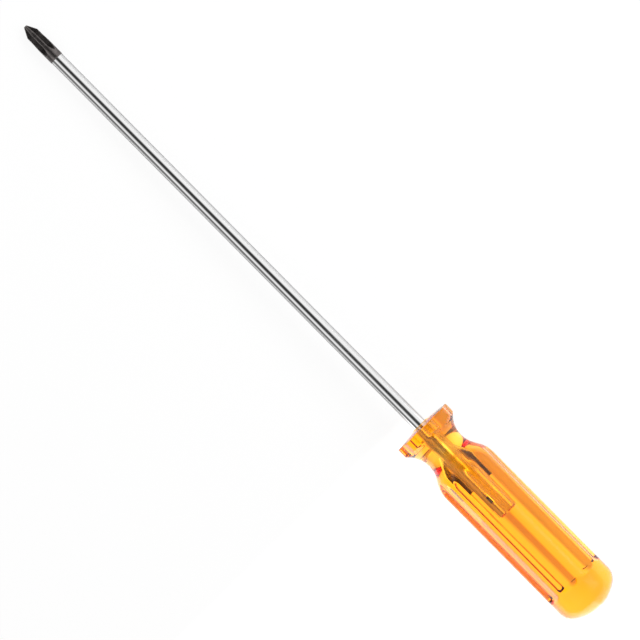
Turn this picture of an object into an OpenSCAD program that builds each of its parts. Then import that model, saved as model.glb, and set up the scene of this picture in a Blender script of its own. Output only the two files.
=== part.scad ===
// Cross-point screwdriver with a fluted clear plastic handle.
// It lies along +X: the driving point is at the origin and the butt of the handle is at the far end.

/* [Blade] */
// Diameter of the round bar
bar_d = 6.35; // [5:0.05:8]
// Length of bar that stands out of the handle, point included
exposed_length = 254; // [75:1:300]
// Length of the dark, unplated point
point_length = 20.5; // [16:0.5:30]
// Length of bar held inside the handle
tang_length = 56; // [52:0.5:80]
// Thickness of the plating, which the held end doesn't have
plating_t = 0.02; // [0.01:0.01:0.05]

/* [Driving point] */
// Diameter of the flat at the very end
point_nose_d = 1.4; // [1:0.1:1.8]
// Length of the blunt nose cone
point_nose_length = 0.5; // [0.2:0.1:1]
// Diameter where the nose cone meets the taper
point_end_d = 2.1; // [1.8:0.1:3]
// Half angle of the taper across the wings, in degrees
point_taper = 26.5; // [24:0.5:32]
// Angle between the two walls of one flute, in degrees
flute_angle = 92; // [86:1:94]
// Distance from the axis to a flute's root at the blunt end
root_start = 0.85; // [0.7:0.01:0.95]
// Slope of a flute's root along its first stretch, in degrees
root_slope = 6.25; // [4:0.25:7]
// Length of a flute's first stretch
root_straight = 5.5; // [4:0.5:6.5]
// Length of a flute's second stretch, where the root is level
back_root_straight = 7; // [4:0.5:8]
// Radius of the cutter that runs the flute out to the bar's surface
runout_r = 7; // [6.5:0.5:12]
// How much thicker than the bar the unplated end is, on the radius
point_step = 0.2; // [0.05:0.05:0.25]
// Distance from the end at which it starts to get thicker
point_step_start = 8; // [6:0.5:9]
// Distance from the end at which it has its full thickness
point_step_end = 12; // [10:0.5:12]
// Angle of the first wing about the bar, from straight up, in degrees
point_turn = 14; // [0:1:45]

/* [Anchor wings] */
// Depth in the handle at which the wings start to rise
wing_start = 18; // [16:0.5:20]
// Depth at which the wings reach their full height
wing_full = 28.5; // [26:0.5:30]
// Depth at which the wings end
wing_end = 38.5; // [36:0.5:40]
// Distance from the axis to the top of a wing
wing_reach = 5.9; // [4.5:0.1:7]
// Thickness of a wing
wing_t = 1.8; // [1:0.1:3]
// Angle of the wings about the bar, from straight up, in degrees
wing_turn = 76; // [0:1:90]
// Distance from the axis to the top of the small rear ears
ear_reach = 4.4; // [3.6:0.1:5]
// Gap round the wings inside the handle
pocket_gap = 0.25; // [0.1:0.05:0.5]

/* [Handle] */
// Length of the handle from its nose to its butt
handle_length = 116; // [110:1:130]
// Diameter over the ribs of the grip
grip_d = 30.6; // [28:0.2:34]
// Diameter of the front collar
collar_d = 30.4; // [28:0.2:34]
// Smallest diameter of the neck
neck_d = 20.5; // [18:0.1:22]
// Distance from the nose to the middle of the neck
neck_at = 16.4; // [15:0.1:17.5]

/* [Grip flutes] */
// Number of flutes round the handle
flute_count = 8; // [6:1:8]
// Width of one flute, as an angle about the axis, in degrees
flute_width = 33; // [24:1:36]
// Depth of a flute below the ribs
flute_depth = 1.3; // [1:0.1:2]
// Distance from the nose to the rounded end of the flutes
flute_end = 100; // [90:1:101]

/* [Hidden] */
$fn = 96;
bar_r = bar_d / 2;
over = 4;                       // how far a cutter runs past what it cuts
eps = 0.02;                     // overlap between shapes that are joined

// Collar and nose
collar_r = collar_d / 2;
nose_r = bar_r + 0.5;
boss_r = bar_r + 1.7;
boss_h = 0.4;
face_h = 1;                     // height of the collar's shallow front cone
collar_front = boss_h + face_h;
collar_t = 4.8;
collar_back = collar_front + collar_t;

// Neck: one hollow arc between two straight slopes
neck_r = neck_d / 2;
front_slope = 45;
back_slope = 30;
front_run = neck_at - collar_back;
front_rise = collar_r - neck_r;
neck_arc = (front_run * tan(front_slope) - front_rise)
    / (sin(front_slope) * tan(front_slope) - (1 - cos(front_slope)));
neck_cross = 0.05;              // extra radius, so that the hollow crosses the slopes cleanly
neck_front = [neck_r + neck_arc * (1 - cos(front_slope)), neck_at - neck_arc * sin(front_slope)];
neck_back = [neck_r + neck_arc * (1 - cos(back_slope)), neck_at + neck_arc * sin(back_slope)];

// Shoulder: one full arc up to the grip
grip_r = grip_d / 2;
shoulder_arc = 16;
shoulder_low_r = grip_r - shoulder_arc * (1 - cos(back_slope));
shoulder_low = neck_back[1] + (shoulder_low_r - neck_back[0]) / tan(back_slope);
shoulder_top = shoulder_low + shoulder_arc * sin(back_slope);

// Domed butt: a corner arc that runs into a flatter crown
corner_arc = 7.6;
dome_h = 10.2;
dome_at = handle_length - dome_h;
corner_r = grip_r - corner_arc;
crown_arc = (pow(dome_h, 2) + pow(corner_r, 2) - pow(corner_arc, 2)) / (2 * (dome_h - corner_arc));
crown_at = handle_length - crown_arc;
crown_scale = crown_arc / (crown_arc - corner_arc);
crown_edge = [corner_r * crown_scale, crown_at + (dome_at - crown_at) * crown_scale];

// Flutes: the cutter's radius follows from the width and the depth
half_width = flute_width / 2;
chord_half = grip_r * sin(half_width);
chord_sag = grip_r * cos(half_width) - (grip_r - flute_depth);
cutter_r = (pow(chord_half, 2) + pow(chord_sag, 2)) / (2 * chord_sag);
cutter_at = grip_r - flute_depth + cutter_r;
cutter_round = 2.4;             // rounding of the cutter's end
cutter_runout = sqrt(pow(cutter_round, 2) - pow(cutter_round - flute_depth, 2));
cutter_stop = flute_end - cutter_runout;

// Driving point: the root of a flute rises, runs level, then rises along the cutter's arc
taper_end = point_nose_length + (bar_r - point_end_d / 2) / tan(point_taper);
wall_run = 2 * bar_r;
wall_rise = wall_run / tan(flute_angle / 2);
root_bend = root_start + root_straight * tan(root_slope);
runout_start = root_straight + back_root_straight;
runout_bite = 0.04;             // how much deeper the cutter goes where it turns up
runout_at = root_bend + runout_r - runout_bite;

// Anchor: wings, rear ears and the pocket that they sit in
ear_start = tang_length - 11.5;
ear_end = ear_start + 3.5;
pocket_end = tang_length - 5;
tang_chamfer = 0.8;
plating_fade = 0.8;             // the plating thins out to bare steel over this length
tang_r = bar_r - plating_t;

module from_nose() {
    translate([exposed_length, 0, 0]) children();
}

// Turns a shape made along Z so that it lies along X
module along_x() {
    rotate([0, 90, 0]) children();
}

// Half outline of the handle: radius along X, distance from the nose along Y
module handle_outline() {
    difference() {
        polygon([
            [0, 0],
            [nose_r, 0],
            [boss_r, boss_h],
            [collar_r, collar_front],
            [collar_r, collar_back],
            neck_front,
            neck_back,
            [shoulder_low_r, shoulder_low],
            [grip_r, shoulder_top],
            [grip_r, dome_at],
            [0, dome_at]
        ]);
        translate([neck_r + neck_arc + neck_cross, neck_at]) circle(r = neck_arc + neck_cross);
    }
    intersection() {
        translate([grip_r - shoulder_arc, shoulder_top]) circle(r = shoulder_arc);
        translate([0, shoulder_low]) square([grip_r + over, shoulder_top - shoulder_low]);
    }
    translate([0, dome_at - eps]) square([crown_edge[0], crown_edge[1] - dome_at + 2 * eps]);
    translate([corner_r, dome_at]) circle(r = corner_arc);
    intersection() {
        translate([0, crown_at]) circle(r = crown_arc);
        translate([0, crown_edge[1]]) square([grip_r, dome_h]);
    }
}

// The same cutters cross the collar and the grip, and stop in a rounded end before the butt
module flutes() {
    for (i = [0 : flute_count - 1])
        rotate([0, 0, i * 360 / flute_count]) translate([cutter_at, 0, 0]) {
            translate([0, 0, -over]) cylinder(r = cutter_r, h = cutter_stop + over);
            translate([0, 0, cutter_stop]) {
                cylinder(r = cutter_r - cutter_round, h = cutter_round);
                rotate_extrude() translate([cutter_r - cutter_round, 0]) circle(r = cutter_round);
            }
        }
}

// Side view of one pair of wings: a slow ramp, a flat top and a square back
module wing_side(start, full, end, reach) {
    polygon([
        [-bar_r * 0.8, start],
        [bar_r * 0.8, start],
        [reach, full],
        [reach, end],
        [-reach, end],
        [-reach, full]
    ]);
}

module wing_plate(start, full, end, reach, thickness) {
    rotate([0, 0, wing_turn])
        rotate([90, 0, 0])
            linear_extrude(height = thickness, center = true)
                wing_side(start, full, end, reach);
}

// Room round the wings, which stays open behind them
module wing_pocket() {
    wing_plate(wing_start - 1, wing_full - 1, pocket_end, wing_reach + pocket_gap, wing_t + 2 * pocket_gap);
    rotate([0, 0, 90])
        wing_plate(
            ear_start - 2,
            ear_start,
            ear_end + pocket_gap,
            ear_reach + pocket_gap,
            wing_t + 2 * pocket_gap
        );
}

module handle() {
    color([0.98, 0.68, 0.12, 0.75]) from_nose() along_x() difference() {
        rotate_extrude() handle_outline();
        flutes();
        translate([0, 0, -over]) cylinder(r = bar_r, h = tang_length + over);
        wing_pocket();
    }
}

module shank() {
    color("gainsboro") translate([point_length, 0, 0]) along_x()
        cylinder(r = bar_r, h = exposed_length - point_length);
}

// V-shaped channel for one straight stretch of a flute; the first number is its root at the start
module point_channel(root, slope, length, lead) {
    translate([root, 0, 0]) rotate([0, slope, 0]) rotate([0, 0, -90])
        translate([0, 0, -lead])
            linear_extrude(height = lead + length / cos(slope))
                polygon([[0, 0], [wall_run, wall_rise], [-wall_run, wall_rise]]);
}

// One flute of the driving point: two channels, then the arc that runs it out
module point_flute() {
    point_channel(root_start, root_slope, root_straight, over);
    translate([0, 0, root_straight])
        point_channel(root_bend, 0, back_root_straight + runout_bite, over / 2);
    translate([runout_at, 0, runout_start]) rotate([90, 0, 0])
        intersection() {
            rotate_extrude()
                polygon([[runout_r, 0], [runout_r - wall_rise, wall_run], [runout_r - wall_rise, -wall_run]]);
            translate([-2 * runout_r, 0, -wall_run]) cube([2 * runout_r, 2 * runout_r, 2 * wall_run]);
        }
}

module driving_point() {
    color([0.22, 0.2, 0.19]) along_x() difference() {
        rotate_extrude()
            polygon([
                [0, 0],
                [point_nose_d / 2, 0],
                [point_end_d / 2, point_nose_length],
                [bar_r, taper_end],
                [bar_r, point_step_start],
                [bar_r + point_step, point_step_end],
                [bar_r + point_step, point_length],
                [0, point_length]
            ]);
        for (i = [0 : 3]) rotate([0, 0, 135 - point_turn + i * 90]) point_flute();
    }
}

module anchor_tang() {
    color("darkgray") from_nose() along_x() {
        cylinder(r1 = bar_r, r2 = tang_r, h = plating_fade);
        translate([0, 0, plating_fade])
            cylinder(r = tang_r, h = tang_length - tang_chamfer - plating_fade);
        translate([0, 0, tang_length - tang_chamfer])
            cylinder(r1 = tang_r, r2 = tang_r - tang_chamfer, h = tang_chamfer);
        wing_plate(wing_start, wing_full, wing_end, wing_reach, wing_t);
        rotate([0, 0, 90]) wing_plate(ear_start - 1, ear_start, ear_end, ear_reach, wing_t);
    }
}

handle();
shank();
driving_point();
anchor_tang();
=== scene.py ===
import bpy
import math
import numpy as np
from mathutils import Matrix, Vector


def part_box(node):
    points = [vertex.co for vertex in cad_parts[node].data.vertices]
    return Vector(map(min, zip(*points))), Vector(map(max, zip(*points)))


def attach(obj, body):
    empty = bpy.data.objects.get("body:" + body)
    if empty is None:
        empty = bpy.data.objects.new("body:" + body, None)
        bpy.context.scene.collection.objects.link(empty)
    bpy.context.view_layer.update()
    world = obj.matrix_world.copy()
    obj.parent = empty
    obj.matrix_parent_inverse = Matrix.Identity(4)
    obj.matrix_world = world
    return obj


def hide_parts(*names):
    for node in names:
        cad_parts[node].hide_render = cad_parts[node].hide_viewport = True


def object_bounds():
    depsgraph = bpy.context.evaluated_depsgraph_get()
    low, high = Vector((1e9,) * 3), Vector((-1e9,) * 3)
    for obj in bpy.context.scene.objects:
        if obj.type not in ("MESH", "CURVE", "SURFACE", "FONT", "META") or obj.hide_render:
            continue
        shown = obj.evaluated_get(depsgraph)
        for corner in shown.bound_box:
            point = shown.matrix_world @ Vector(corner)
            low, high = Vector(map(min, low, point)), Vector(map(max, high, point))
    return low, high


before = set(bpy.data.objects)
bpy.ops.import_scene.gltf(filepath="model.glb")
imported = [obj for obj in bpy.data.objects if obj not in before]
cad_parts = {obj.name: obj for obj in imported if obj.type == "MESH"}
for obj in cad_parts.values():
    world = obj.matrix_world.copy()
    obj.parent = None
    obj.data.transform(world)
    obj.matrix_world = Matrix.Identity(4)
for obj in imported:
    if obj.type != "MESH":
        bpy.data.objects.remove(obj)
cadLow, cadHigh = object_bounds()
mm = 0.001
sharpAngle = 38          # degrees between two faces above which their edge stays crisp
print("frame loaded:", sorted(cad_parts))

# where things lie along the blade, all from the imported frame
handleLow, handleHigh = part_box("handle")
shankLow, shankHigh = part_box("shank")
pointLow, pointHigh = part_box("driving_point")
tangLow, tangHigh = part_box("anchor_tang")
noseAt = handleLow.x
buttAt = handleHigh.x
gripRadius = handleHigh.z
barRadius = shankHigh.z


# ---- small mesh tools: every piece is a stack of rings about the blade's axis

def smoothMin(a, b, blend):
    share = np.clip(0.5 + 0.5 * (b - a) / blend, 0.0, 1.0)
    return b + (a - b) * share - blend * share * (1.0 - share)


def smoothMax(a, b, blend):
    return -smoothMin(-a, -b, blend)


def easeStep(value, low, high):
    t = np.clip((value - low) / (high - low), 0.0, 1.0)
    return t * t * (3.0 - 2.0 * t)


def angleFrom(angles, centre):
    # signed angle from a centre line, in radians, always the short way round
    return (angles - math.radians(centre) + math.pi) % (2 * math.pi) - math.pi


def arcPoints(middle, radius, fromDeg, toDeg, steps):
    turn = np.radians(np.linspace(fromDeg, toDeg, steps))
    return np.stack([middle[0] + radius * np.cos(turn), middle[1] + radius * np.sin(turn)], 1)


def linePoints(start, end, steps):
    # the end itself is left out, so that stretches can follow each other
    share = np.linspace(0.0, 1.0, steps, endpoint=False)[:, None]
    return np.array(start) * (1 - share) + np.array(end) * share


def loftPiece(name, along, radii, angles, startPole=None, endPole=None):
    # one ring per entry of along; angle 0 is up and a quarter turn is +Y
    rings, steps = radii.shape
    verts = np.empty((rings, steps, 3))
    verts[..., 0] = along[:, None]
    verts[..., 1] = radii * np.sin(angles)
    verts[..., 2] = radii * np.cos(angles)
    points = verts.reshape(-1, 3).tolist()
    ring = np.arange(rings - 1)[:, None] * steps
    side = np.arange(steps)[None, :]
    after = (side + 1) % steps
    faces = np.stack([ring + side, ring + steps + side, ring + steps + after, ring + after], -1)
    faces = faces.reshape(-1, 4).tolist()
    if startPole is not None:
        points.append((startPole, 0.0, 0.0))
        faces += [(len(points) - 1, j, (j + 1) % steps) for j in range(steps)]
    if endPole is not None:
        last = (rings - 1) * steps
        points.append((endPole, 0.0, 0.0))
        faces += [(last + j, len(points) - 1, last + (j + 1) % steps) for j in range(steps)]
    mesh = bpy.data.meshes.new(name)
    mesh.from_pydata(points, [], faces)
    mesh.validate()
    mesh.polygons.foreach_set("use_smooth", [True] * len(mesh.polygons))
    mesh.set_sharp_from_angle(angle=math.radians(sharpAngle))
    piece = bpy.data.objects.new(name, mesh)
    bpy.context.scene.collection.objects.link(piece)
    return piece


def storeValue(piece, name, values):
    # a per-point number that a material can read
    layer = piece.data.attributes.new(name, "FLOAT", "POINT")
    full = np.zeros(len(piece.data.vertices), np.float32)
    full[:values.size] = values.reshape(-1)
    layer.data.foreach_set("value", full)


# ---- small node tools

def startMaterial(name, baseColor):
    material = bpy.data.materials.new(name)
    material.use_nodes = True
    material.diffuse_color = (*baseColor, 1.0)
    shader = material.node_tree.nodes["Principled BSDF"]
    shader.inputs["Base Color"].default_value = (*baseColor, 1.0)
    return material, material.node_tree, shader


def addNode(tree, kind, settings=None, values=None, links=None):
    made = tree.nodes.new(kind)
    for key, value in (settings or {}).items():
        setattr(made, key, value)
    for key, value in (values or {}).items():
        made.inputs[key].default_value = value
    for key, socket in (links or {}).items():
        tree.links.new(socket, made.inputs[key])
    return made


def stretchedCoords(tree, scale):
    coords = addNode(tree, "ShaderNodeTexCoord")
    mapping = addNode(tree, "ShaderNodeMapping", None, {"Scale": scale}, {"Vector": coords.outputs["Object"]})
    return mapping.outputs["Vector"]


def addNoise(tree, scale, size, detail=4.0, rough=0.5):
    # size is per metre; scale stretches the pattern per axis
    noise = addNode(tree, "ShaderNodeTexNoise", None,
                    {"Scale": size, "Detail": detail, "Roughness": rough},
                    {"Vector": stretchedCoords(tree, scale)})
    return noise.outputs["Fac"]


def remap(tree, socket, fromLow, fromHigh, toLow, toHigh):
    node = addNode(tree, "ShaderNodeMapRange", None,
                   {"From Min": fromLow, "From Max": fromHigh, "To Min": toLow, "To Max": toHigh},
                   {"Value": socket})
    return node.outputs["Result"]


def addMath(tree, operation, a, b=None):
    node = addNode(tree, "ShaderNodeMath", {"operation": operation})
    for slot, value in enumerate((a, b)):
        if value is None:
            continue
        if isinstance(value, (int, float)):
            node.inputs[slot].default_value = value
        else:
            tree.links.new(value, node.inputs[slot])
    return node.outputs["Value"]


def mixColors(tree, factor, first, second):
    node = addNode(tree, "ShaderNodeMix", {"data_type": "RGBA"})
    tree.links.new(factor, node.inputs["Factor"])
    for key, value in ((6, first), (7, second)):
        if isinstance(value, tuple):
            node.inputs[key].default_value = (*value, 1.0)
        else:
            tree.links.new(value, node.inputs[key])
    return node.outputs[2]


def addBump(tree, shader, height, strength, distance, below=None):
    bump = addNode(tree, "ShaderNodeBump", None, {"Strength": strength, "Distance": distance},
                   {"Height": height})
    if below is not None:
        tree.links.new(below, bump.inputs["Normal"])
    tree.links.new(bump.outputs["Normal"], shader.inputs["Normal"])
    return bump.outputs["Normal"]


def settle(piece, node, material):
    piece.data.materials.append(material)
    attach(piece, "root")
    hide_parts(node)
    print("built", piece.name, "with", len(piece.data.polygons), "faces")


# ---- the amber handle; shapes are in millimetres and degrees from here on

handleShape = {
    "boreSlack": 0.04,        # how far the plastic reaches into the metal, so that no air shows
    "noseRing": 0.5,
    "bossRing": 1.7,
    "bossHeight": 0.4,
    "faceHeight": 1.0,
    "collarRadius": 15.2,
    "collarLength": 4.8,
    "rimRound": 0.45,
    "neckRadius": 10.25,
    "neckAt": 16.4,
    "frontSlope": 45.0,
    "backSlope": 30.0,
    "shoulderArc": 16.0,
    "cornerArc": 7.6,
    "domeHeight": 10.2,
    "fluteCount": 8,
    "fluteWidth": 33.0,
    "fluteDepth": 1.3,
    "fluteEnd": 100.0,
    "fluteRound": 2.4,        # rounding of the cutter's end
    "ribEdgeRound": 0.8,
}
wingShape = {
    "turn": -76.0,            # where the first wing points, degrees from up toward +Y
    "start": 18.0,
    "full": 28.5,
    "end": 38.5,
    "reach": 5.9,
    "thick": 1.8,
    "earStart": 44.5,
    "earEnd": 48.0,
    "earReach": 4.4,
    "pocketGap": 0.25,
    "pocketEnd": 51.0,
    "pocketLead": 1.0,        # how far the pocket opens before the wings rise
    "earLead": 2.0,
    "pocketCorner": 0.2,
    "plateCorner": 0.25,
    "rootFillet": 0.12,
    "earRamp": 1.0,
    "chamfer": 0.8,
    "plateFade": 0.8,         # the plating thins out over this length
    "plateEdge": 0.02,
}


def plateRadius(angles, turn, reach, half, blend):
    # polar radius of a flat plate through the axis; it points along turn and the opposite way
    side = np.abs(np.sin(angleFrom(angles, turn)))
    return smoothMin(reach + 0.0 * side, half / np.maximum(side, 1e-4), blend)


def rampReach(depth, start, full, reach, low):
    share = np.clip((depth - start) / (full - start), 0.0, 1.0)
    return low + (reach - low) * share


def pocketRadius(depth, angles, bore):
    s = wingShape
    gap = s["pocketGap"]
    half = s["thick"] / 2 + gap
    radius = np.full(angles.shape, bore)
    lead = s["pocketLead"]
    corner = s["pocketCorner"]
    if s["start"] - lead < depth < s["pocketEnd"]:
        reach = rampReach(depth, s["start"] - lead, s["full"] - lead, s["reach"] + gap, bore)
        radius = np.maximum(radius, plateRadius(angles, s["turn"], reach, half, corner))
    earsFrom = s["earStart"] - s["earLead"]
    if earsFrom < depth < s["earEnd"] + gap:
        reach = rampReach(depth, earsFrom, s["earStart"], s["earReach"] + gap, bore)
        radius = np.maximum(radius, plateRadius(angles, s["turn"] + 90, reach, half, corner))
    return radius


def handleOutline():
    # (distance from the nose, radius), from the bore's mouth to the middle of the butt
    s = handleShape
    grip = gripRadius / mm
    bar = barRadius / mm
    long = (buttAt - noseAt) / mm
    collar = s["collarRadius"]
    front = s["bossHeight"] + s["faceHeight"]
    back = front + s["collarLength"]
    f = math.radians(s["frontSlope"])
    b = math.radians(s["backSlope"])
    run = s["neckAt"] - back
    rise = collar - s["neckRadius"]
    arc = (run * math.tan(f) - rise) / (math.sin(f) * math.tan(f) - (1 - math.cos(f)))
    middle = (s["neckAt"], s["neckRadius"] + arc)
    neckFront = (middle[0] - arc * math.sin(f), middle[1] - arc * math.cos(f))
    neckBack = (middle[0] + arc * math.sin(b), middle[1] - arc * math.cos(b))
    shoulder = s["shoulderArc"]
    lowRadius = grip - shoulder * (1 - math.cos(b))
    low = neckBack[0] + (lowRadius - neckBack[1]) / math.tan(b)
    top = low + shoulder * math.sin(b)
    dome = long - s["domeHeight"]
    corner = s["cornerArc"]
    cornerRadius = grip - corner
    crown = (s["domeHeight"] ** 2 + cornerRadius ** 2 - corner ** 2) / (2 * (s["domeHeight"] - corner))
    crownAt = long - crown
    edgeTurn = math.degrees(math.atan2(cornerRadius, dome - crownAt))
    rim = s["rimRound"]
    # the small offsets only choose where mesh rings lie; the last number of each line is their count
    outline = [
        linePoints((0.0, bar + s["noseRing"]), (s["bossHeight"], bar + s["bossRing"]), 4),
        linePoints((s["bossHeight"], bar + s["bossRing"]), (front - 0.3, collar - 3.0), 9),
        linePoints((front - 0.3, collar - 3.0), (front - 0.02, collar - rim), 14),
        arcPoints((front + rim, collar - rim), rim, 174, 90, 7),
        linePoints((front + rim + 0.3, collar), (back - 0.2, collar), 9),
        arcPoints((back - rim * 0.4142, collar - rim), rim, 90, 45, 6),
        linePoints((back + 0.12, collar - 0.14), neckFront, 16),
        arcPoints(middle, arc, -90 - s["frontSlope"], -90 + s["backSlope"], 26),
        linePoints(neckBack, (low, lowRadius), 5)[1:],
        arcPoints((top, grip - shoulder), shoulder, 90 + s["backSlope"], 90, 30),
        linePoints((top + 2, grip), (s["fluteEnd"] - 3.5, grip), 16),
        linePoints((s["fluteEnd"] - 3.5, grip), (s["fluteEnd"] - 1.0, grip), 14),
        linePoints((s["fluteEnd"] - 1.0, grip), (s["fluteEnd"] + 0.6, grip), 22),
        linePoints((s["fluteEnd"] + 0.6, grip), (dome, grip), 6),
        arcPoints((dome, cornerRadius), corner, 90, edgeTurn, 20),
        arcPoints((crownAt, 0.0), crown, edgeTurn, 0.4, 24)[1:],
    ]
    return np.concatenate(outline)


def fluteRadius(depth, angles):
    # polar radius of the flutes' walls; far outside the handle where there is no flute
    s = handleShape
    grip = gripRadius / mm
    half = math.radians(s["fluteWidth"] / 2)
    chord = grip * math.sin(half)
    sag = grip * math.cos(half) - (grip - s["fluteDepth"])
    cutter = (chord ** 2 + sag ** 2) / (2 * sag)
    centre = grip - s["fluteDepth"] + cutter
    ball = s["fluteRound"]
    stop = s["fluteEnd"] - math.sqrt(ball ** 2 - (ball - s["fluteDepth"]) ** 2)
    past = np.clip(depth - stop, 0.0, ball)
    cutter = cutter - ball + np.sqrt(ball ** 2 - past ** 2)
    step = 2 * math.pi / s["fluteCount"]
    offset = (angles + step / 2) % step - step / 2
    under = cutter ** 2 - (centre * np.sin(offset)) ** 2
    wall = centre * np.cos(offset) - np.sqrt(np.maximum(under, 0.0))
    return np.where(under > 0, wall, 2 * grip)


def handleAngles():
    # close steps where a rib's edge or a pocket's corner is, wide steps elsewhere
    s = handleShape
    half = s["fluteWidth"] / 2
    edge = np.concatenate([
        np.linspace(0.0, half - 1.6, 9, endpoint=False),
        np.linspace(half - 1.6, half + 1.8, 7, endpoint=False),
        np.linspace(half + 1.8, 180.0 / s["fluteCount"], 3, endpoint=False)
    ])
    sector = np.concatenate([edge, 360.0 / s["fluteCount"] - edge[1:], [180.0 / s["fluteCount"]]])
    allAngles = [sector + 360.0 * k / s["fluteCount"] for k in range(s["fluteCount"])]
    pocketSteps = np.array([10.2, 10.8, 11.4, 14.0, 18.0, 21.0])
    for quarter in range(4):
        turn = wingShape["turn"] + 90 * quarter
        allAngles.append(turn + pocketSteps)
        allAngles.append(turn - pocketSteps)
    merged = np.sort(np.concatenate(allAngles) % 360.0)
    keep = np.append(True, np.diff(merged) > 0.25)
    return np.radians(merged[keep])


def buildHandle():
    s = handleShape
    w = wingShape
    angles = handleAngles()
    bore = barRadius / mm - s["boreSlack"]
    end = (tangHigh.x - noseAt) / mm
    inner = [end, w["pocketEnd"] + 0.02, w["pocketEnd"] - 0.02]
    inner += list(np.linspace(w["pocketEnd"] - 0.6, w["earEnd"] + w["pocketGap"] + 0.02, 4))
    inner += list(np.linspace(w["earEnd"] + w["pocketGap"] - 0.02, w["earStart"] - w["earLead"], 9))
    inner += list(np.linspace(w["earStart"] - w["earLead"] - 0.5, w["full"], 9))
    inner += list(np.linspace(w["full"] - w["pocketLead"], w["start"] - w["pocketLead"], 16))
    inner += list(np.linspace(w["start"] - 1.5, 0.0, 6))
    depths = np.array(inner)
    innerRadii = np.array([pocketRadius(d, angles, bore) for d in depths])
    outline = handleOutline()
    turned = outline[:, 1:] + 0.0 * angles
    outerRadii = smoothMin(turned, fluteRadius(outline[:, :1], angles), s["ribEdgeRound"])
    along = np.concatenate([depths, outline[:, 0]]) * mm + noseAt
    radii = np.concatenate([innerRadii, outerRadii]) * mm
    return loftPiece("AmberHandle", along, radii, angles, noseAt + end * mm, buttAt)


amberLook = {
    "base": (1.0, 0.97, 0.9),
    "clear": (0.995, 0.79, 0.0),    # what the plastic lets through
    "depthOfColor": 175.0,          # how quickly the color builds up, per metre
    "bend": 1.48,
    "shine": 0.18,
    "gloss": 0.02,
    "buttFrost": 0.11,
    "frostRun": 1.2,          # length over which the polish turns dull
    "scratch": 0.025,
    "wave": 0.10,
}


def amberPlastic():
    s = amberLook
    material, tree, shader = startMaterial("AmberPlastic", s["base"])
    shader.inputs["Transmission Weight"].default_value = 1.0
    shader.inputs["IOR"].default_value = s["bend"]
    shader.inputs["Specular IOR Level"].default_value = s["shine"]
    coords = addNode(tree, "ShaderNodeTexCoord")
    split = addNode(tree, "ShaderNodeSeparateXYZ", None, None, {"Vector": coords.outputs["Object"]})
    frostAt = noseAt + (handleShape["fluteEnd"] + 0.5) * mm
    frost = remap(tree, split.outputs["X"], frostAt, frostAt + s["frostRun"] * mm, 0.0, 1.0)
    haze = addNoise(tree, (1.0, 1.0, 1.0), 90.0, 5.0)
    handling = remap(tree, haze, 0.35, 0.75, s["gloss"] * 0.5, s["gloss"] * 2.5)
    frosted = remap(tree, haze, 0.3, 0.7, s["buttFrost"] * 0.85, s["buttFrost"] * 1.15)
    blend = addNode(tree, "ShaderNodeMix", {"data_type": "FLOAT"})
    tree.links.new(frost, blend.inputs[0])
    tree.links.new(handling, blend.inputs[2])
    tree.links.new(frosted, blend.inputs[3])
    tree.links.new(blend.outputs[0], shader.inputs["Roughness"])
    scratches = addNoise(tree, (0.08, 1.0, 1.0), 2600.0, 3.0)
    waves = addNoise(tree, (0.5, 1.0, 1.0), 130.0, 2.0)
    soft = addBump(tree, shader, waves, s["wave"], 0.0006)
    addBump(tree, shader, scratches, s["scratch"], 0.00004, soft)
    volume = addNode(tree, "ShaderNodeVolumeAbsorption")
    volume.inputs["Color"].default_value = (*s["clear"], 1.0)
    volume.inputs["Density"].default_value = s["depthOfColor"]
    tree.links.new(volume.outputs["Volume"], tree.nodes["Material Output"].inputs["Volume"])
    return material


handlePiece = buildHandle()
settle(handlePiece, "handle", amberPlastic())


# ---- the plated shank

shankShape = {
    "ringStep": 3.0,
    "sides": 128,
    "plateEdge": 0.02,
}


def buildShank():
    s = shankShape
    angles = np.linspace(0, 2 * math.pi, s["sides"], endpoint=False)
    start = shankLow.x / mm
    end = shankHigh.x / mm
    bar = barRadius / mm
    steps = int((end - start) / s["ringStep"])
    middle = linePoints((start + 0.15, bar), (end, bar), steps)
    path = np.concatenate([
        [(start, bar * 0.5), (start, bar - s["plateEdge"]), (start + s["plateEdge"], bar)],
        middle,
        [(end, bar), (end, bar * 0.5)]
    ])
    radii = path[:, 1:] + 0.0 * angles
    return loftPiece("PlatedShank", path[:, 0] * mm, radii * mm, angles, start * mm, end * mm)


chromeLook = {
    "tint": (0.92, 0.92, 0.92),
    "edgeTint": (0.25, 0.25, 0.26),
    "gloss": 0.07,
    "grain": 0.05,
}


def platedSteel():
    s = chromeLook
    material, tree, shader = startMaterial("PlatedSteel", s["tint"])
    shader.inputs["Metallic"].default_value = 1.0
    shader.inputs["Specular Tint"].default_value = (*s["edgeTint"], 1.0)
    haze = addNoise(tree, (0.35, 1.0, 1.0), 120.0, 5.0)
    dulled = remap(tree, haze, 0.3, 0.75, s["gloss"] * 0.6, s["gloss"] * 1.7)
    tree.links.new(dulled, shader.inputs["Roughness"])
    grain = addNoise(tree, (0.02, 1.0, 1.0), 5200.0, 2.0)
    addBump(tree, shader, grain, s["grain"], 0.00001)
    stains = addNoise(tree, (0.6, 1.0, 1.0), 40.0, 6.0)
    shade = mixColors(tree, remap(tree, stains, 0.45, 0.8, 0.0, 0.35), s["tint"],
                      tuple(c * 0.86 for c in s["tint"]))
    tree.links.new(shade, shader.inputs["Base Color"])
    return material


shankPiece = buildShank()
settle(shankPiece, "shank", platedSteel())


# ---- the dark driving point

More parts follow.
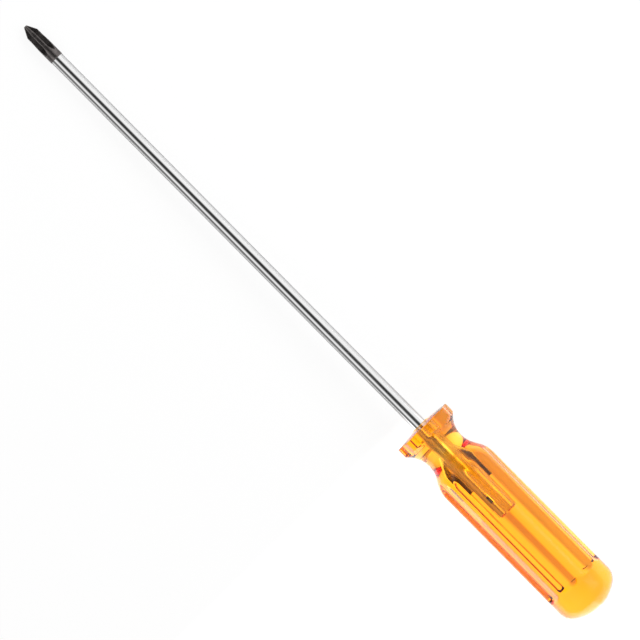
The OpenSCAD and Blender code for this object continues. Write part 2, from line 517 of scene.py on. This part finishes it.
pointShape = {
    "turn": 14.0,             # where a wing points, degrees from up toward +Y
    "noseRadius": 0.7,
    "noseLength": 0.5,
    "endRadius": 1.05,
    "step": 0.2,              # the unplated end is a little thicker than the bar
    "stepStart": 8.0,
    "stepEnd": 12.0,
    "taper": 26.5,
    "fluteAngle": 92.0,
    "rootStart": 0.85,
    "rootSlope": 6.25,
    "rootStraight": 5.5,
    "backStraight": 7.0,
    "runOut": 7.0,
    "edgeRound": 0.09,
    "sides": 208,
}


def pointRoot(depth):
    # from the axis to the bottom of a flute: a slope, a level stretch, then an arc out to the surface
    s = pointShape
    rise = math.tan(math.radians(s["rootSlope"]))
    slope = s["rootStart"] + np.minimum(depth, s["rootStraight"]) * rise
    past = np.maximum(depth - s["rootStraight"] - s["backStraight"], 0.0)
    return slope + s["runOut"] - np.sqrt(np.maximum(s["runOut"] ** 2 - past ** 2, 0.0))


def buildPoint():
    s = pointShape
    bar = barRadius / mm
    length = pointHigh.x / mm
    wide = bar + s["step"]
    taperEnd = s["noseLength"] + (bar - s["endRadius"]) / math.tan(math.radians(s["taper"]))
    runOutEnd = s["rootStraight"] + s["backStraight"] + s["runOut"] * 0.75
    path = np.concatenate([
        linePoints((0.0, 0.1), (0.0, s["noseRadius"] - 0.05), 7),
        [(0.01, s["noseRadius"])],
        linePoints((0.03, s["noseRadius"] + 0.02), (s["noseLength"], s["endRadius"]), 7),
        linePoints((s["noseLength"], s["endRadius"]), (taperEnd, bar), 30),
        linePoints((taperEnd, bar), (s["stepStart"], bar), 20),
        linePoints((s["stepStart"], bar), (s["stepEnd"], wide), 8),
        linePoints((s["stepEnd"], wide), (runOutEnd, wide), 60),
        linePoints((runOutEnd, wide), (length - 0.05, wide), 6),
        [(length, wide - 0.05), (length, bar * 0.5)]
    ])
    angles = np.radians(np.linspace(0.0, 360.0, s["sides"], endpoint=False) + s["turn"])
    fromWing = (angles - math.radians(s["turn"])) % (math.pi / 2)
    offset = np.abs(fromWing - math.pi / 4)
    gap = np.cos(offset) - np.sin(offset) / math.tan(math.radians(s["fluteAngle"] / 2))
    root = pointRoot(path[:, :1])
    wall = np.where(gap > 0.02, root / np.maximum(gap, 0.02), 100.0)
    body = path[:, 1:] + 0.0 * angles
    radii = smoothMin(body, wall, s["edgeRound"])
    piece = loftPiece("DrivingPoint", path[:, 0] * mm, radii * mm, angles, 0.0, length * mm)
    crest = np.exp(-((body - radii) / 0.05) ** 2) * np.exp(-(np.abs(wall - body) / 0.35) ** 2)
    crest += 0.8 * np.exp(-(path[:, :1] / 0.5) ** 2)
    storeValue(piece, "crest", np.clip(crest, 0.0, 1.0))
    return piece


oxideLook = {
    "dark": (0.13, 0.118, 0.115),
    "rubbed": (0.42, 0.40, 0.38),
    "gloss": 0.27,
    "wear": 0.45,
}


def blackOxide():
    s = oxideLook
    material, tree, shader = startMaterial("BlackOxideSteel", s["dark"])
    shader.inputs["Metallic"].default_value = 1.0
    grain = addNoise(tree, (1.0, 1.0, 1.0), 1800.0, 6.0, 0.6)
    patches = addNoise(tree, (1.0, 1.0, 1.0), 420.0, 4.0)
    crest = addNode(tree, "ShaderNodeAttribute", {"attribute_name": "crest"})
    broken = addMath(tree, "MULTIPLY", crest.outputs["Fac"], remap(tree, grain, 0.35, 0.65, 0.3, 1.0))
    rub = addMath(tree, "MULTIPLY", broken, s["wear"])
    mottled = mixColors(tree, remap(tree, patches, 0.35, 0.7, 0.0, 1.0), s["dark"],
                        tuple(c * 1.7 for c in s["dark"]))
    tree.links.new(mixColors(tree, rub, mottled, s["rubbed"]), shader.inputs["Base Color"])
    satin = remap(tree, grain, 0.3, 0.7, s["gloss"] * 0.8, s["gloss"] * 1.25)
    tree.links.new(satin, shader.inputs["Roughness"])
    addBump(tree, shader, grain, 0.25, 0.00003)
    return material


pointPiece = buildPoint()
settle(pointPiece, "driving_point", blackOxide())


# ---- the held end of the bar, with its pressed wings

def buildTang():
    w = wingShape
    start = tangLow.x / mm
    end = tangHigh.x / mm
    nose = noseAt / mm
    bar = barRadius / mm
    thin = bar - w["plateEdge"]
    fade = w["plateFade"]
    fine = [np.linspace(-24.0, 24.0, 49) + w["turn"] + 90 * k for k in range(4)]
    rest = [np.linspace(26.0, 64.0, 14) + w["turn"] + 90 * k for k in range(4)]
    angles = np.radians(np.sort(np.concatenate(fine + rest) % 360.0))
    depths = np.concatenate([
        [0.0, 0.0, fade],
        np.linspace(2.0, w["start"], 8, endpoint=False),
        np.linspace(w["start"], w["full"], 40, endpoint=False),
        np.linspace(w["full"], w["end"] - 0.15, 8),
        [w["end"] - 0.02, w["end"] + 0.02],
        np.linspace(w["end"] + 0.5, w["earStart"] - w["earRamp"], 5, endpoint=False),
        np.linspace(w["earStart"] - w["earRamp"], w["earStart"], 6, endpoint=False),
        np.linspace(w["earStart"], w["earEnd"] - 0.1, 5),
        [w["earEnd"] - 0.02, w["earEnd"] + 0.02],
        np.linspace(w["earEnd"] + 0.5, end - nose - w["chamfer"], 5),
        [end - nose, end - nose]
    ])
    low = thin * 0.8          # a wing starts below the bar's surface
    half = w["thick"] / 2
    earsFrom = w["earStart"] - w["earRamp"]
    radii = np.empty((len(depths), len(angles)))
    for i, depth in enumerate(depths):
        core = np.full(angles.shape, thin)
        if depth < fade:
            core = core + (bar - thin) * (1 - depth / fade)
        if i in (0, len(depths) - 1):
            core = core * 0.5
        if i == len(depths) - 2:
            core = core - w["chamfer"]
        if w["start"] <= depth < w["end"]:
            reach = rampReach(depth, w["start"], w["full"], w["reach"], low)
            wing = plateRadius(angles, w["turn"], reach, half, w["plateCorner"])
            core = smoothMax(core, wing, w["rootFillet"])
        if earsFrom <= depth < w["earEnd"]:
            reach = rampReach(depth, earsFrom, w["earStart"], w["earReach"], low)
            ear = plateRadius(angles, w["turn"] + 90, reach, half, w["plateCorner"])
            core = smoothMax(core, ear, w["rootFillet"])
        radii[i] = core
    piece = loftPiece("AnchorTang", depths * mm + noseAt, radii * mm, angles, start * mm, end * mm)
    storeValue(piece, "pressed", easeStep(radii, thin + 0.1, thin + 1.2))
    return piece


tangLook = {
    # painted reflection: the warm tint of the steel stands in for the amber plastic mirrored in it
    "steel": (0.98, 0.77, 0.54),
    "pressed": (0.16, 0.10, 0.07),
    "gloss": 0.28,
    "metal": 0.75,            # the rest is a dull skin left by the press
}


def bareSteelWithPaintedAmber():
    s = tangLook
    material, tree, shader = startMaterial("BareSteelWithPaintedAmber", s["steel"])
    shader.inputs["Metallic"].default_value = s["metal"]
    grain = addNoise(tree, (0.06, 1.0, 1.0), 2400.0, 4.0, 0.6)
    blotch = addNoise(tree, (0.5, 1.0, 1.0), 260.0, 5.0)
    pressed = addNode(tree, "ShaderNodeAttribute", {"attribute_name": "pressed"})
    # random blotches of scale on a warm tint that is painted reflection of the amber around the tang
    scale = mixColors(tree, remap(tree, blotch, 0.4, 0.7, 0.0, 0.6), s["steel"],
                      tuple(c * 0.8 for c in s["steel"]))
    tree.links.new(mixColors(tree, pressed.outputs["Fac"], scale, s["pressed"]), shader.inputs["Base Color"])
    dulled = remap(tree, grain, 0.3, 0.7, s["gloss"] * 0.75, s["gloss"] * 1.3)
    tree.links.new(dulled, shader.inputs["Roughness"])
    addBump(tree, shader, grain, 0.3, 0.00003)
    return material


tangPiece = buildTang()
settle(tangPiece, "anchor_tang", bareSteelWithPaintedAmber())


# ---- floor, light and camera

floorLook = {
    "size": 3.0,
    "paper": 0.80,
    "clean": 0.88,            # how much of the shadow the studio backdrop hides from the camera
    "white": 1.03,
    "paintedGlow": (0.04, 0.45, 1.45),   # painted light on the paper, standing in for the light the handle gathers and the shade it casts: by the bar, under the handle's far side and near side
    "paintedGlowSides": (-1.5, -5.0),    # from far side to near side, mm across
    "paintedGlowStart": (-8.0, 4.0),     # from bar to handle, mm past the nose
}


def buildFloor():
    # the tool rests on the rim of its point and on its collar, so the floor leans a little
    taperEnd = (barRadius / mm - pointShape["endRadius"]) / math.tan(math.radians(pointShape["taper"]))
    touchFront = Vector(((taperEnd + pointShape["noseLength"]) * mm, 0.0, -barRadius))
    flatAt = noseAt + (handleShape["bossHeight"] + handleShape["faceHeight"]) * mm
    touchBack = Vector((flatAt + 0.1 * mm, 0.0, -(handleShape["collarRadius"] - 0.5) * mm))
    slope = (touchBack - touchFront).normalized()
    across = Vector((0.0, 1.0, 0.0))
    middle = (cadLow + cadHigh) / 2
    centre = touchFront + slope * (middle - touchFront).dot(slope)
    half = floorLook["size"] / 2
    signs = ((-1, -1), (1, -1), (1, 1), (-1, 1))
    corners = [centre + slope * sx * half + across * sy * half for sx, sy in signs]
    mesh = bpy.data.meshes.new("Floor")
    mesh.from_pydata([tuple(c) for c in corners], [], [(0, 1, 2, 3)])
    floor = bpy.data.objects.new("Floor", mesh)
    bpy.context.scene.collection.objects.link(floor)
    material, tree, shader = startMaterial("PaleFloor", (floorLook["paper"],) * 3)
    shader.inputs["Roughness"].default_value = 0.8
    shader.inputs["Specular IOR Level"].default_value = 0.0
    coords = addNode(tree, "ShaderNodeTexCoord")
    split = addNode(tree, "ShaderNodeSeparateXYZ", None, None, {"Vector": coords.outputs["Object"]})
    # the paper's emission is painted light and shade: almost none by the bar, dim under the handle's far side
    # where its shadow falls, bright under its near side where the light it focuses falls
    byBar, farSide, nearSide = floorLook["paintedGlow"]
    sideFrom, sideTo = floorLook["paintedGlowSides"]
    startFrom, startTo = floorLook["paintedGlowStart"]
    paintedSideGlow = remap(tree, split.outputs["Y"], sideFrom * mm, sideTo * mm, farSide, nearSide)
    under = remap(tree, split.outputs["X"], noseAt + startFrom * mm, noseAt + startTo * mm, 0.0, 1.0)
    paintedGlow = addNode(tree, "ShaderNodeMix", {"data_type": "FLOAT"}, {2: byBar}, {0: under, 3: paintedSideGlow})
    shader.inputs["Emission Color"].default_value = (1.0, 1.0, 1.0, 1.0)
    tree.links.new(paintedGlow.outputs[0], shader.inputs["Emission Strength"])
    lightPath = addNode(tree, "ShaderNodeLightPath")
    backdrop = addNode(tree, "ShaderNodeEmission", None, {"Strength": floorLook["white"]})
    share = addMath(tree, "MULTIPLY", lightPath.outputs["Is Camera Ray"], floorLook["clean"])
    surface = addNode(tree, "ShaderNodeMixShader", None, None, {0: share, 1: shader.outputs["BSDF"],
                                                                2: backdrop.outputs["Emission"]})
    tree.links.new(surface.outputs["Shader"], tree.nodes["Material Output"].inputs["Surface"])
    mesh.materials.append(material)
    print("floor leans", round(math.degrees(math.asin(-slope.z)), 2), "degrees")


# how bright the studio is round the blade's axis: degrees from up toward +Y, brightness
studioRound = [
    (-180, 0.70),
    (-113, 0.70),
    (-83, 0.38),
    (-63, 0.12),
    (-51, 0.13),
    (-41, 0.80),
    (-21, 0.92),
    (-12, 0.50),
    (-1, 0.04),
    (30, 0.03),
    (42, 0.60),
    (51, 0.98),
    (117, 0.95),
    (180, 0.70),
]
studioPlan = {
    "pastBar": (0.040, 0.062),    # direction along +X where the dark strip fades, above the grip
    "pastShare": 0.85,
    "pastLevel": 0.8,
    "ends": (0.80, 0.98),
    "endLevel": 0.7,
}


def buildStudio():
    world = bpy.data.worlds.new("Studio")
    bpy.context.scene.world = world
    world.use_nodes = True
    tree = world.node_tree
    background = tree.nodes["Background"]
    coords = addNode(tree, "ShaderNodeTexCoord")
    split = addNode(tree, "ShaderNodeSeparateXYZ", None, None, {"Vector": coords.outputs["Generated"]})
    turn = addMath(tree, "ARCTAN2", split.outputs["Y"], split.outputs["Z"])
    place = remap(tree, turn, -math.pi, math.pi, 0.0, 1.0)
    ramp = addNode(tree, "ShaderNodeValToRGB", None, None, {"Fac": place})
    stops = ramp.color_ramp.elements
    while len(stops) < len(studioRound):
        stops.new(0.5)
    for stop, (degrees, level) in zip(stops, studioRound):
        stop.position = (degrees + 180) / 360
        stop.color = (level, level, level, 1.0)
    s = studioPlan
    pastBar = remap(tree, split.outputs["X"], *s["pastBar"], 0.0, s["pastShare"])
    around = mixColors(tree, pastBar, ramp.outputs["Color"], (s["pastLevel"],) * 3)
    ends = remap(tree, addMath(tree, "ABSOLUTE", split.outputs["X"]), *s["ends"], 0.0, 1.0)
    shade = mixColors(tree, ends, around, (s["endLevel"],) * 3)
    tree.links.new(shade, background.inputs["Color"])
    background.inputs["Strength"].default_value = 1.0


def addSoftbox(name, turn, distance, size, power):
    # turn is in degrees from up toward +Y about the blade's axis
    light = bpy.data.lights.new(name, "AREA")
    light.shape = "RECTANGLE"
    light.size = size[0]
    light.size_y = size[1]
    light.energy = power
    box = bpy.data.objects.new(name, light)
    bpy.context.scene.collection.objects.link(box)
    a = math.radians(turn)
    middle = (cadLow + cadHigh) / 2
    away = Vector((0.0, math.sin(a), math.cos(a)))
    box.visible_glossy = False
    box.matrix_world = Matrix.Translation(Vector((middle.x, 0.0, 0.0)) + away * distance) @ \
        Matrix((Vector((1, 0, 0)), away.cross(Vector((1, 0, 0))), away)).transposed().to_4x4()
    return box


viewSetup = {
    "lean": 14.0,             # how far the view leans from straight down toward +Y
    "spin": 45.28,            # how far the blade is turned down from level in the frame
    "aim": 188.55,            # point on the axis that the middle of the frame looks at
    "shift": 1.33,
    "distance": 2.0,
    "width": 0.290,
}


def placeCamera():
    s = viewSetup
    lean = math.radians(s["lean"])
    toCamera = Vector((0.0, math.sin(lean), math.cos(lean)))
    across = Vector((0.0, math.cos(lean), -math.sin(lean)))
    along = Vector((1.0, 0.0, 0.0))
    spin = math.radians(s["spin"])
    right = along * math.cos(spin) + across * math.sin(spin)
    up = across * math.cos(spin) - along * math.sin(spin)
    lens = bpy.data.cameras.new("StudioCamera")
    lens.sensor_width = 36.0
    lens.lens = 36.0 * s["distance"] / s["width"]
    lens.clip_start = 0.05
    lens.clip_end = 20.0
    camera = bpy.data.objects.new("StudioCamera", lens)
    bpy.context.scene.collection.objects.link(camera)
    target = along * s["aim"] * mm + across * s["shift"] * mm
    turned = Matrix((right, up, toCamera)).transposed().to_4x4()
    camera.matrix_world = Matrix.Translation(target + toCamera * s["distance"]) @ turned
    bpy.context.scene.camera = camera


buildFloor()
buildStudio()
addSoftbox("SideSoftbox", 52.0, 0.8, (1.2, 0.4), 5.0)
placeCamera()
bpy.context.scene.view_settings.view_transform = "Standard"
print("stage, light and camera are set")

print("size before", [round(v, 5) for v in (*cadLow, *cadHigh)])
